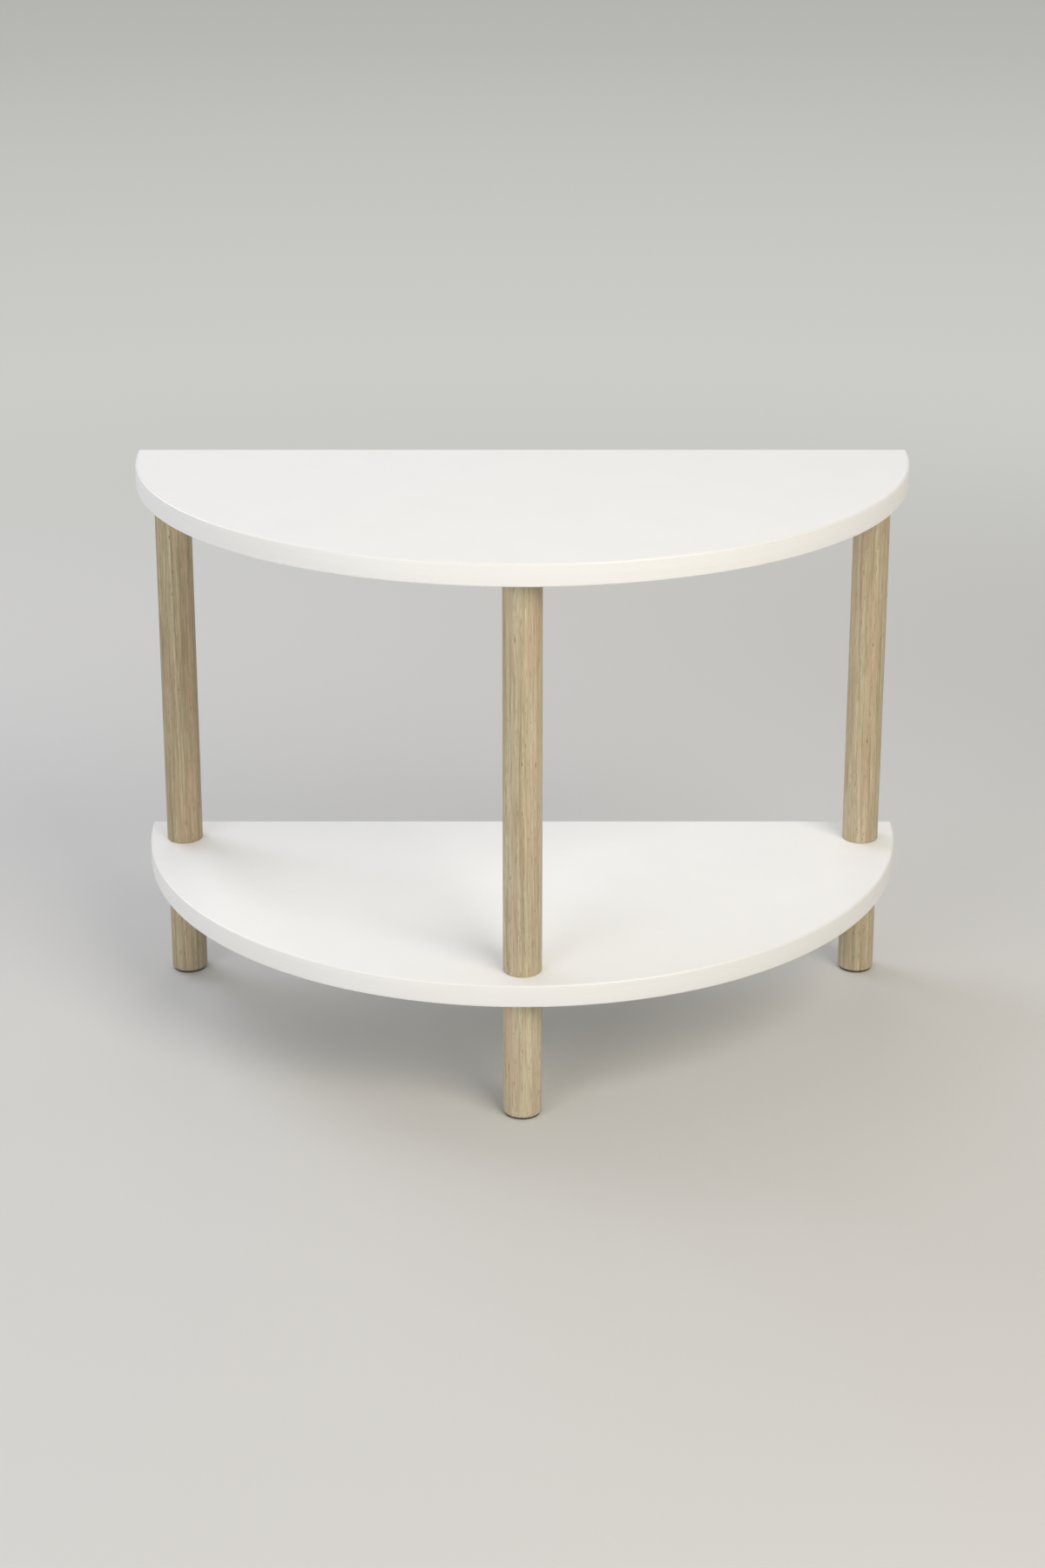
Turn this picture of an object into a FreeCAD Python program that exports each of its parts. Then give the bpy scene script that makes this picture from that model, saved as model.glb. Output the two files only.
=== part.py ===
# Half-round side table with an under-shelf, in millimetres.
# Two half-round boards with plastic edging stand on three legs. Each leg is two turned rods, one
# above the shelf and one below it. The lower rod's hanger bolt passes through the shelf into an
# insert nut in the upper rod, and the upper rod's bolt screws into an insert nut under the top.
# The origin is on the floor under the middle of the table. +Z is up, and the straight edge, which
# stands against a wall, is at +Y.

import FreeCAD, Part
import Sketcher
import os
from enum import IntEnum

OUTPUT_FOLDER = "parts"

# Driving dimensions: alias in the sheet, value in millimetres, what it is.
SIZES = [
    ("board_radius", 320.0, "curved edge of both boards, from the middle of the straight edge"),
    ("board_thickness", 18.0, "both boards"),
    ("edging_thickness", 2.0, "plastic edging glued round both boards"),
    ("edging_rounding", 1.5, "round on the edging's outer corners"),
    ("leg_diameter", 30.0, "upper and lower legs"),
    ("leg_rounding", 1.0, "round on the ends of the legs"),
    ("leg_edge_inset", 29.0, "leg axis to the curved edge"),
    ("rear_leg_setback", 35.0, "rear leg axis to the straight edge"),
    ("upper_leg_length", 316.0, "shelf to the underside of the top"),
    ("lower_leg_length", 101.0, "foot pad to the underside of the shelf"),
    ("pad_diameter", 28.0, "felt foot pad"),
    ("pad_thickness", 2.0, "felt foot pad"),
    ("pad_rounding", 0.5, "round on the pad's lower rim"),
    ("bolt_diameter", 8.0, "hanger bolt"),
    ("bolt_neck_relief", 0.7, "plain neck between the bolt's two threads, below the shank"),
    ("bolt_neck_length", 3.0, "plain neck between the bolt's two threads"),
    ("bolt_wood_length", 32.0, "wood-screw end of the bolt, inside the leg"),
    ("bolt_point_length", 9.0, "taper at the wood-screw end"),
    ("bolt_tip_diameter", 2.0, "blunt tip of the wood-screw end"),
    ("bolt_chamfer", 0.8, "chamfer on the machine end"),
    ("bolt_end_gap", 1.0, "free length past both ends of a bolt"),
    ("insert_wall", 1.95, "metal round the thread of an insert nut"),
    ("insert_chamfer", 0.6, "chamfer on the insert nut's rims"),
    ("insert_socket_depth", 4.0, "hexagon for the driving key, at the insert nut's mouth"),
    ("top_insert_length", 12.0, "insert nut under the top"),
    ("leg_insert_length", 20.0, "insert nut in the lower end of an upper leg"),
    ("thread_clearance", 0.05, "bolt to insert nut, on the radius"),
    ("bore_clearance", 0.05, "metal to its hole in the wood, on the radius"),
    ("shelf_hole_clearance", 0.5, "bolt to its hole through the shelf, on the radius"),
]

# The most of a wall that a round on its corner may take.
MOST_OF_WALL = 0.9

# Heights and places that follow from the driving dimensions.
WALL_Y = "(Sizes.board_radius / 2)"
SHELF_UNDERSIDE = "(Sizes.pad_thickness + Sizes.lower_leg_length)"
SHELF_TOP = f"({SHELF_UNDERSIDE} + Sizes.board_thickness)"
TOP_UNDERSIDE = f"({SHELF_TOP} + Sizes.upper_leg_length)"
CORE_RADIUS = "(Sizes.board_radius - Sizes.edging_thickness)"
REAR_EDGING_HALF = "sqrt(Sizes.board_radius^2 - Sizes.edging_thickness^2)"
LEG_CIRCLE = "(Sizes.board_radius - Sizes.leg_edge_inset)"
REAR_LEG_X = f"sqrt({LEG_CIRCLE}^2 - Sizes.rear_leg_setback^2)"
EDGING_ROUND = f"min(Sizes.edging_rounding; {MOST_OF_WALL} * Sizes.edging_thickness)"
PAD_ROUND = f"min(Sizes.pad_rounding; {MOST_OF_WALL} * Sizes.pad_thickness)"
BOLT_BORE = "(Sizes.bolt_diameter + 2 * Sizes.bore_clearance)"
BOLT_BORE_DEPTH = "(Sizes.bolt_wood_length + Sizes.bolt_end_gap)"
SHELF_HOLE = "(Sizes.bolt_diameter + 2 * Sizes.shelf_hole_clearance)"
THREAD_BORE = "(Sizes.bolt_diameter + 2 * Sizes.thread_clearance)"
KEY_CORNERS = f"({THREAD_BORE} * 2 / sqrt(3))"
INSERT_DIAMETER = f"({THREAD_BORE} + 2 * Sizes.insert_wall)"
INSERT_BORE = f"({INSERT_DIAMETER} + 2 * Sizes.bore_clearance)"
TOP_BOLT_REACH = "(Sizes.top_insert_length - Sizes.bolt_end_gap)"
SHELF_BOLT_REACH = "(Sizes.board_thickness + Sizes.leg_insert_length - Sizes.bolt_end_gap)"

# Where the legs stand, from the middle of the straight edge: side of the table, distance to that
# side, and distance in front of the straight edge.
LEG_SPOTS = {
    "left": (-1, REAR_LEG_X, "Sizes.rear_leg_setback"),
    "right": (1, REAR_LEG_X, "Sizes.rear_leg_setback"),
    "front": (0, "0", LEG_CIRCLE),
}

UP = FreeCAD.Vector(0, 0, 1)
TOLERANCE = 1e-6


class At(IntEnum):
    """Which point of a line, arc or circle a constraint ties."""
    START = 1
    END = 2
    CENTRE = 3


class Axis(IntEnum):
    """The sketch's own axes, as constraints number them."""
    X = -1
    Y = -2


ON_ORIGIN = (Axis.X, At.START)

doc = FreeCAD.newDocument("half_round_table")
sub_parts = []


# The sheet of driving dimensions

def make_sheet():
    """Writes the driving dimensions to the sheet, one to a row."""
    sheet = doc.addObject("Spreadsheet::Sheet", "Sizes")
    for row, (alias, size, meaning) in enumerate(SIZES, start=1):
        sheet.set(f"A{row}", meaning)
        sheet.set(f"B{row}", str(size))
        sheet.setAlias(f"B{row}", alias)
    doc.recompute()
    return sheet


sizes = make_sheet()


def value(expression):
    """The number that an expression of the sheet's cells gives."""
    return float(sizes.evalExpression(expression))


# Bodies, sketches and features

def new_body(label, x="0", y="0", z="0"):
    """A body with its label, placed by expressions, that is written out as one sub-part."""
    body = doc.addObject("PartDesign::Body", label)
    body.Label = label
    for axis, expression in (("x", x), ("y", y), ("z", z)):
        body.setExpression(f"Placement.Base.{axis}", expression)
    sub_parts.append(body)
    return body


def new_sketch(body, name, role="XY_Plane", height="0"):
    """A sketch on one of the body's origin planes, raised along the plane's normal."""
    sketch = body.newObject("Sketcher::SketchObject", name)
    plane = next(f for f in body.Origin.OriginFeatures if f.Role == role)
    sketch.AttachmentSupport = [(plane, "")]
    sketch.MapMode = "FlatFace"
    sketch.setExpression("AttachmentOffset.Base.z", height)
    return sketch


def dimension(sketch, name, expression, kind, *where):
    """A named dimension of a sketch, bound to the sheet."""
    index = sketch.addConstraint(Sketcher.Constraint(kind, *where, value(expression)))
    sketch.renameConstraint(index, name)
    sketch.setExpression(f"Constraints.{name}", expression)


def constrain(sketch, *constraints):
    """Adds geometric constraints, each a kind and the points or lines that it ties."""
    for kind, *where in constraints:
        sketch.addConstraint(Sketcher.Constraint(kind, *where))


def add_circle(sketch, name, diameter, side=0, across="0", ahead="0"):
    """A circle in front of the sketch's origin, to its left (-1), right (1) or in the middle (0)."""
    x, y = side * value(across), -value(ahead)
    circle = sketch.addGeometry(Part.Circle(FreeCAD.Vector(x, y, 0), UP, value(diameter) / 2))
    if ahead == "0":
        constrain(sketch, ("Coincident", circle, At.CENTRE, *ON_ORIGIN))
    else:
        dimension(sketch, f"{name}_ahead", ahead, "DistanceY", circle, At.CENTRE, *ON_ORIGIN)
        if side == 0:
            constrain(sketch, ("PointOnObject", circle, At.CENTRE, Axis.Y))
        elif side < 0:
            dimension(sketch, f"{name}_across", across, "DistanceX", circle, At.CENTRE, *ON_ORIGIN)
        else:
            dimension(sketch, f"{name}_across", across, "DistanceX", *ON_ORIGIN, circle, At.CENTRE)
    dimension(sketch, f"{name}_diameter", diameter, "Diameter", circle)


def add_outline(sketch, points):
    """A closed outline of straight lines through points, which are pairs of numbers."""
    first = sketch.GeometryCount
    corners = [FreeCAD.Vector(x, y, 0) for x, y in points]
    for start, end in zip(corners, corners[1:] + corners[:1]):
        sketch.addGeometry(Part.LineSegment(start, end))
    lines = range(first, sketch.GeometryCount)
    for line in lines:
        following = first + (line - first + 1) % len(points)
        constrain(sketch, ("Coincident", line, At.END, following, At.START))
    return lines


def arc_ends(radius):
    """Left and right ends of a board's arc, which stops at the inside of the rear edging."""
    reach, ahead = value(radius), value("Sizes.edging_thickness")
    half = (reach**2 - ahead**2) ** 0.5
    return FreeCAD.Vector(-half, -ahead, 0), FreeCAD.Vector(half, -ahead, 0)


def add_front_arc(sketch, name, radius):
    """An arc about the middle of the straight edge, round the front from the left to the right."""
    left, right = arc_ends(radius)
    arc = sketch.addGeometry(Part.Arc(left, FreeCAD.Vector(0, -value(radius), 0), right))
    constrain(sketch, ("Coincident", arc, At.CENTRE, *ON_ORIGIN))
    dimension(sketch, f"{name}_radius", radius, "Radius", arc)
    return arc


def pad(body, sketch, length):
    """The sketch raised to a length."""
    feature = body.newObject("PartDesign::Pad", "Pad")
    feature.Profile = sketch
    feature.setExpression("Length", length)
    doc.recompute()
    return feature


def drill(body, sketch, diameter, depth=None, upwards=False, pointed=False):
    """Drills holes at the sketch's circles: right through, or to a depth with a flat or pointed end."""
    doc.recompute()
    before = body.Shape.Volume
    hole = body.newObject("PartDesign::Hole", "Hole")
    hole.Profile = sketch
    doc.recompute()
    hole.Threaded = False
    hole.setExpression("Diameter", diameter)
    hole.DepthType = "ThroughAll" if depth is None else "Dimension"
    if depth is not None:
        hole.setExpression("Depth", depth)
    hole.DrillPoint = "Angled" if pointed else "Flat"
    hole.Reversed = upwards
    doc.recompute()
    require_cut(body, before)
    return hole


def require_cut(body, volume_before):
    """Stops the build if a feature that removes material left the body as it was."""
    if body.Shape.Volume >= volume_before:
        raise RuntimeError(f"{body.Label}: a hole or pocket cuts nothing")


def rim_edges(feature, radius):
    """Names of the feature's round edges of that radius."""
    return [
        f"Edge{number}"
        for number, edge in enumerate(feature.Shape.Edges, start=1)
        if isinstance(edge.Curve, Part.Circle) and abs(edge.Curve.Radius - radius) < TOLERANCE
    ]


def dress_edges(body, kind, feature, edges, property_name, amount):
    """A fillet or chamfer of that amount on the named edges of the body's last feature."""
    dressing = body.newObject(f"PartDesign::{kind}", kind)
    dressing.Base = (feature, edges)
    dressing.setExpression(property_name, amount)
    doc.recompute()
    return dressing


# Boards and their edging

def make_board(label, height):
    """A half-round board without its edging, with the middle of its straight edge at the wall."""
    body = new_body(label, y=WALL_Y, z=height)
    outline = new_sketch(body, "Outline")
    arc = add_front_arc(outline, "core", CORE_RADIUS)
    left, right = arc_ends(CORE_RADIUS)
    back = outline.addGeometry(Part.LineSegment(right, left))
    constrain(
        outline,
        ("Coincident", arc, At.END, back, At.START),
        ("Coincident", back, At.END, arc, At.START),
        ("Horizontal", back),
    )
    dimension(outline, "trim", "Sizes.edging_thickness", "DistanceY", back, At.START, *ON_ORIGIN)
    pad(body, outline, "Sizes.board_thickness")
    return body


def add_leg_spots(sketch, diameter):
    """A circle where each leg stands."""
    for name, (side, across, ahead) in LEG_SPOTS.items():
        add_circle(sketch, name, diameter, side, across, ahead)


def make_top_board():
    """The top, with a blind hole in its underside for each insert nut."""
    body = make_board("top_board", TOP_UNDERSIDE)
    spots = new_sketch(body, "InsertSpots")
    add_leg_spots(spots, INSERT_BORE)
    drill(body, spots, INSERT_BORE, depth="Sizes.top_insert_length", upwards=True)


def make_shelf_board():
    """The shelf, with a hole through it for each bolt."""
    body = make_board("shelf_board", SHELF_UNDERSIDE)
    spots = new_sketch(body, "BoltSpots", height="Sizes.board_thickness")
    add_leg_spots(spots, SHELF_HOLE)
    drill(body, spots, SHELF_HOLE)


def make_front_edging(label, height):
    """Edging bent round a board's curved edge, rounded above and below."""
    body = new_body(label, y=WALL_Y, z=height)
    strip = new_sketch(body, "Strip")
    outer = add_front_arc(strip, "outer", "Sizes.board_radius")
    inner = add_front_arc(strip, "inner", CORE_RADIUS)
    ends = zip((At.START, At.END), arc_ends("Sizes.board_radius"), arc_ends(CORE_RADIUS))
    for point, outer_end, inner_end in ends:
        end_face = strip.addGeometry(Part.LineSegment(outer_end, inner_end))
        constrain(
            strip,
            ("Coincident", outer, point, end_face, At.START),
            ("Coincident", inner, point, end_face, At.END),
            ("Horizontal", end_face),
        )
        name = f"trim_{point.name}"
        dimension(strip, name, "Sizes.edging_thickness", "DistanceY", end_face, At.START, *ON_ORIGIN)
    band = pad(body, strip, "Sizes.board_thickness")
    rims = rim_edges(band, value("Sizes.board_radius"))
    dress_edges(body, "Fillet", band, rims, "Radius", EDGING_ROUND)


def make_rear_edging(label, height):
    """Edging along a board's straight edge, over the ends of the front edging, with rounded corners."""
    body = new_body(label, y=WALL_Y, z=height)
    strip = new_sketch(body, "Strip")
    half = value(REAR_EDGING_HALF)
    thick = value("Sizes.edging_thickness")
    front, right, back, left = add_outline(
        strip, [(-half, -thick), (half, -thick), (half, 0), (-half, 0)]
    )
    constrain(
        strip,
        ("Horizontal", front),
        ("Vertical", right),
        ("Vertical", left),
        ("PointOnObject", back, At.START, Axis.X),
        ("Symmetric", back, At.START, back, At.END, Axis.Y),
    )
    dimension(strip, "half_length", REAR_EDGING_HALF, "DistanceX", *ON_ORIGIN, back, At.START)
    dimension(strip, "thickness", "Sizes.edging_thickness", "DistanceY", right, At.START, right, At.END)
    band = pad(body, strip, "Sizes.board_thickness")
    outside = [
        f"Edge{number}"
        for number, edge in enumerate(band.Shape.Edges, start=1)
        if edge.CenterOfMass.y > -thick + TOLERANCE
    ]
    dress_edges(body, "Fillet", band, outside, "Radius", EDGING_ROUND)


# Legs and foot pads

def make_leg(label, spot, height, length):
    """A turned rod with a hole in its upper end for the wood-screw end of a hanger bolt."""
    side, across, ahead = LEG_SPOTS[spot]
    body = new_body(label, f"{side} * {across}", f"{WALL_Y} - {ahead}", height)
    section = new_sketch(body, "Section")
    add_circle(section, "rod", "Sizes.leg_diameter")
    pad(body, section, length)
    mouth = new_sketch(body, "BoltSpot", height=length)
    add_circle(mouth, "bore", BOLT_BORE)
    drill(body, mouth, BOLT_BORE, depth=BOLT_BORE_DEPTH, pointed=True)
    return body


def round_leg_ends(body):
    """Rounds both ends of a leg."""
    ends = rim_edges(body.Tip, value("Sizes.leg_diameter") / 2)
    dress_edges(body, "Fillet", body.Tip, ends, "Radius", "Sizes.leg_rounding")


def make_upper_leg(spot):
    """A leg between the shelf and the top, with a hole in its lower end for an insert nut."""
    body = make_leg(f"upper_leg_{spot}", spot, SHELF_TOP, "Sizes.upper_leg_length")
    mouth = new_sketch(body, "InsertSpot")
    add_circle(mouth, "bore", INSERT_BORE)
    drill(body, mouth, INSERT_BORE, depth="Sizes.leg_insert_length", upwards=True)
    round_leg_ends(body)


def make_lower_leg(spot):
    """A leg between the foot pad and the shelf."""
    body = make_leg(f"lower_leg_{spot}", spot, "Sizes.pad_thickness", "Sizes.lower_leg_length")
    round_leg_ends(body)


def make_foot_pad(spot):
    """A felt disc stuck under a lower leg."""
    side, across, ahead = LEG_SPOTS[spot]
    body = new_body(f"foot_pad_{spot}", f"{side} * {across}", f"{WALL_Y} - {ahead}")
    section = new_sketch(body, "Section")
    add_circle(section, "disc", "Sizes.pad_diameter")
    disc = pad(body, section, "Sizes.pad_thickness")
    rims = rim_edges(disc, value("Sizes.pad_diameter") / 2)
    lower = [name for name in rims if disc.Shape.getElement(name).CenterOfMass.z < TOLERANCE]
    dress_edges(body, "Fillet", disc, lower, "Radius", PAD_ROUND)


# Hanger bolts and insert nuts

def make_hanger_bolt(label, spot, height, reach):
    """A bolt turned about its axis: wood-screw end below the joint, machine end reaching above it."""
    side, across, ahead = LEG_SPOTS[spot]
    body = new_body(label, f"{side} * {across}", f"{WALL_Y} - {ahead}", height)
    profile = new_sketch(body, "Profile", role="XZ_Plane")
    shank = "(Sizes.bolt_diameter / 2)"
    chamfer = "Sizes.bolt_chamfer"
    neck = f"({shank} - Sizes.bolt_neck_relief)"
    points = [
        ("axis_low", "0", "-Sizes.bolt_wood_length"),
        ("tip", "(Sizes.bolt_tip_diameter / 2)", "-Sizes.bolt_wood_length"),
        ("point_end", shank, "(Sizes.bolt_point_length - Sizes.bolt_wood_length)"),
        ("wood_end", shank, "-Sizes.bolt_neck_length"),
        ("neck_low", neck, "-Sizes.bolt_neck_length"),
        ("neck_high", neck, "0"),
        ("machine_start", shank, "0"),
        ("machine_end", shank, f"({reach} - {chamfer})"),
        ("end_rim", f"({shank} - {chamfer})", reach),
        ("axis_high", "0", reach),
    ]
    lines = add_outline(profile, [(value(x), value(y)) for _, x, y in points])
    for line, (name, x, y) in zip(lines, points):
        place_point(profile, line, name, x, y)
    turned = body.newObject("PartDesign::Revolution", "Turned")
    turned.Profile = profile
    turned.ReferenceAxis = (profile, ["V_Axis"])
    turned.Angle = 360
    doc.recompute()


def place_point(sketch, line, name, x, y):
    """Places the start of a line by its distances from the sketch's axes."""
    if x == "0":
        constrain(sketch, ("PointOnObject", line, At.START, Axis.Y))
    else:
        dimension(sketch, f"{name}_x", x, "DistanceX", *ON_ORIGIN, line, At.START)
    if y == "0":
        constrain(sketch, ("PointOnObject", line, At.START, Axis.X))
    else:
        dimension(sketch, f"{name}_y", y, "DistanceY", *ON_ORIGIN, line, At.START)


def make_insert_nut(label, spot, height, length):
    """A threaded sleeve whose mouth, at its lower end, has a hexagon for the driving key."""
    side, across, ahead = LEG_SPOTS[spot]
    body = new_body(label, f"{side} * {across}", f"{WALL_Y} - {ahead}", height)
    section = new_sketch(body, "Section")
    add_circle(section, "outside", INSERT_DIAMETER)
    add_circle(section, "thread", THREAD_BORE)
    pad(body, section, length)
    before = body.Shape.Volume
    key = new_sketch(body, "KeyHexagon")
    add_hexagon(key, "key", KEY_CORNERS)
    socket = body.newObject("PartDesign::Pocket", "Socket")
    socket.Profile = key
    socket.Reversed = True
    socket.setExpression("Length", "Sizes.insert_socket_depth")
    doc.recompute()
    require_cut(body, before)
    rims = rim_edges(socket, value(INSERT_DIAMETER) / 2)
    dress_edges(body, "Chamfer", socket, rims, "Size", "Sizes.insert_chamfer")


def add_hexagon(sketch, name, across_corners):
    """A regular hexagon about the origin, sized across its corners, with two sides upright."""
    reach = value(across_corners) / 2
    turns = [FreeCAD.Rotation(UP, angle) for angle in range(-30, 330, 60)]
    corners = [turn.multVec(FreeCAD.Vector(reach, 0, 0)) for turn in turns]
    sides = add_outline(sketch, [(corner.x, corner.y) for corner in corners])
    ring = sketch.addGeometry(Part.Circle(FreeCAD.Vector(0, 0, 0), UP, reach), True)
    constrain(sketch, ("Coincident", ring, At.CENTRE, *ON_ORIGIN), ("Vertical", sides[0]))
    for side in sides:
        constrain(sketch, ("PointOnObject", side, At.START, ring))
    for side in sides[1:]:
        constrain(sketch, ("Equal", sides[0], side))
    dimension(sketch, f"{name}_corners", across_corners, "Diameter", ring)


# The table

def make_table():
    """All the sub-parts."""
    make_top_board()
    make_front_edging("top_front_edging", TOP_UNDERSIDE)
    make_rear_edging("top_rear_edging", TOP_UNDERSIDE)
    make_shelf_board()
    make_front_edging("shelf_front_edging", SHELF_UNDERSIDE)
    make_rear_edging("shelf_rear_edging", SHELF_UNDERSIDE)
    for spot in LEG_SPOTS:
        make_upper_leg(spot)
        make_lower_leg(spot)
        make_foot_pad(spot)
        make_hanger_bolt(f"top_bolt_{spot}", spot, TOP_UNDERSIDE, TOP_BOLT_REACH)
        make_hanger_bolt(f"shelf_bolt_{spot}", spot, SHELF_UNDERSIDE, SHELF_BOLT_REACH)
        make_insert_nut(f"top_insert_{spot}", spot, TOP_UNDERSIDE, "Sizes.top_insert_length")
        make_insert_nut(f"leg_insert_{spot}", spot, SHELF_TOP, "Sizes.leg_insert_length")


def check_model():
    """Stops the build if any feature failed or any sub-part isn't one valid solid."""
    doc.recompute()
    failed = [o.Label for o in doc.Objects if {"Invalid", "Error"} & set(o.State)]
    if failed:
        raise RuntimeError(f"failed features: {failed}")
    for body in sub_parts:
        shape = body.Shape
        if shape.isNull() or not shape.isValid() or len(shape.Solids) != 1:
            raise RuntimeError(f"{body.Label} isn't one valid solid")


def write_parts():
    """Writes each sub-part to its own file, named for it."""
    os.makedirs(OUTPUT_FOLDER, exist_ok=True)
    for body in sub_parts:
        body.Shape.exportStep(os.path.join(OUTPUT_FOLDER, f"{body.Label}.step"))
    print(f"{len(sub_parts)} sub-parts written")


make_table()
check_model()
write_parts()
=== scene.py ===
import logging
import math
from abc import ABC, abstractmethod
from collections.abc import Callable
from dataclasses import dataclass
from enum import Enum
from typing import Any

import bpy
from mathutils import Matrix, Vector


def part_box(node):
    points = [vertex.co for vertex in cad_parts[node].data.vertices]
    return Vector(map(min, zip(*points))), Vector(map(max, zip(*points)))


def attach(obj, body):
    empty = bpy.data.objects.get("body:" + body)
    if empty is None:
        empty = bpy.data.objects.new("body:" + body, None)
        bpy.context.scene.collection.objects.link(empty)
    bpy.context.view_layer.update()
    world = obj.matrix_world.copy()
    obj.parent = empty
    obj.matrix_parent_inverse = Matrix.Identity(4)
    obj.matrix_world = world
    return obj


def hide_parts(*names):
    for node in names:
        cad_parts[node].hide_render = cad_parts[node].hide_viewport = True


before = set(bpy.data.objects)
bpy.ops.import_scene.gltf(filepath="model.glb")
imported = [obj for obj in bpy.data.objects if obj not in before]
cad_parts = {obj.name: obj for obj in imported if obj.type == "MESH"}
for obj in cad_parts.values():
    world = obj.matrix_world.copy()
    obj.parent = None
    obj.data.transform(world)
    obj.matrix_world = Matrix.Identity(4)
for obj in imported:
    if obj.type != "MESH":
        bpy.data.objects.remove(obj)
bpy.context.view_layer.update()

LOG = logging.getLogger("side_table")

MM = 0.001
BODY = "root"

TURN_STEPS = 32
ROUND_SEGMENTS = 6
HEXAGON_SIDES = 6
SMOOTH_UNDER_DEG = 35.0
SEAM = 0.001 * MM
# How far a point may be from the edge that it is taken for.
NEAR = 0.05 * MM
# How far a tool runs past the face that it cuts.
OVERRUN = 1.0 * MM
# How far the blank of a threaded piece stands outside its thread.
BLANK_ALLOWANCE = 0.02 * MM

# Blender's band wave repeats every pi / 10 of its own coordinate.
WAVE_PERIOD = math.pi / 10
NOISE_MIDDLE = 0.5

# The sRGB curve: a straight foot up to a knee, and a lifted power above it.
SRGB_FOOT = 12.92
SRGB_KNEE = 0.04045
SRGB_LIFT = 0.055
SRGB_POWER = 2.4
FULL_LEVEL = 255

# Sockets of the colour Mix node, which share their names with its other kinds.
MIX_SHARE = 0
MIX_FIRST = 6
MIX_SECOND = 7
MIX_RESULT = 2

Piece = bpy.types.Object
Material = bpy.types.Material
Tree = bpy.types.NodeTree
Socket = bpy.types.NodeSocket
Settings = dict[str | int, Any]
Links = dict[str | int, Socket]
Sockets = tuple[Settings, Links]
Pair = tuple[float, float]
Step = tuple[float, float, float]
EdgeTest = Callable[[Vector, Vector], bool]

UP: Step = (0.0, 0.0, 1.0)
DOWN: Step = (0.0, 0.0, -1.0)
BACK: Step = (0.0, 1.0, 0.0)


class Spot(Enum):
    """Where a leg stands under the boards."""

    LEFT = "left"
    RIGHT = "right"
    FRONT = "front"

    def pad(self) -> str:
        """Names the node of the pad under the leg."""
        return f"foot_pad_{self.value}"


# What the legs share is modelled once, from the nodes of this one.
MODEL_SPOT = Spot.LEFT


class Tier(Enum):
    """One of the two half-round boards, with the names of what meets it."""

    TOP = "top"
    SHELF = "shelf"

    def part(self, part: str) -> str:
        """Names the node of the board or of its edging."""
        return f"{self.value}_{part}"

    def leg(self, spot: Spot) -> str:
        """Names the node of the rod whose upper end is at the board."""
        return f"{'upper' if self is Tier.TOP else 'lower'}_leg_{spot.value}"

    def bolt(self, spot: Spot) -> str:
        """Names the node of the bolt in the upper end of that rod."""
        return f"{self.value}_bolt_{spot.value}"

    def nut(self, spot: Spot) -> str:
        """Names the node of the insert nut that the bolt goes into."""
        return f"{'top' if self is Tier.TOP else 'leg'}_insert_{spot.value}"


class Combine(Enum):
    """How one solid is worked with another."""

    UNION = "UNION"
    INTERSECT = "INTERSECT"
    DIFFERENCE = "DIFFERENCE"


# Measures of the frame

def middle(node: str) -> Pair:
    """Measures where the middle of a node is, along X and Y."""
    low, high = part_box(node)
    return (low[0] + high[0]) / 2, (low[1] + high[1]) / 2


def half_width(node: str) -> float:
    """Measures half of a node's length along X."""
    low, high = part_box(node)
    return (high[0] - low[0]) / 2


def heights(node: str) -> Pair:
    """Measures a node's lowest and highest point."""
    low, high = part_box(node)
    return low[2], high[2]


# Colours and nodes

def linear(hex_colour: str) -> tuple[float, float, float, float]:
    """Turns an sRGB hex colour to linear light.

    Args:
        hex_colour: Six hex digits after a hash sign.

    Returns:
        Red, green, blue and an alpha of one.
    """
    levels = [level / FULL_LEVEL for level in bytes.fromhex(hex_colour[1:])]
    red, green, blue = (
        ((level + SRGB_LIFT) / (1 + SRGB_LIFT)) ** SRGB_POWER
        if level > SRGB_KNEE
        else level / SRGB_FOOT
        for level in levels
    )
    return red, green, blue, 1.0


def fresh_tree(block: Material | bpy.types.World) -> Tree:
    """Gives a material or a world an empty node tree.

    Args:
        block: The material or world.

    Returns:
        Its node tree.
    """
    block.use_nodes = True
    block.node_tree.nodes.clear()
    return block.node_tree


def add_node(
    tree: Tree,
    kind: str,
    settings: Settings | None = None,
    links: Links | None = None,
    stops: list[tuple[float, str]] | None = None,
) -> bpy.types.Node:
    """Adds a node with its settings and links.

    Args:
        tree: The node tree to add to.
        kind: The node's type, without the ShaderNode prefix.
        settings: Values by input name or number, or by property name.
        links: Output sockets by the name or number of the input that they feed.
        stops: Places and hex colours of a colour ramp.

    Returns:
        The new node.
    """
    node = tree.nodes.new(f"ShaderNode{kind}")
    for name, setting in (settings or {}).items():
        if isinstance(name, int) or name in node.inputs:
            node.inputs[name].default_value = setting
        else:
            setattr(node, name, setting)
    for name, socket in (links or {}).items():
        tree.links.new(socket, node.inputs[name])
    for index, (place, colour) in enumerate(stops or []):
        elements = node.color_ramp.elements
        element = elements[index] if index < len(elements) else elements.new(place)
        element.position = place
        element.color = linear(colour)
    return node


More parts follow.
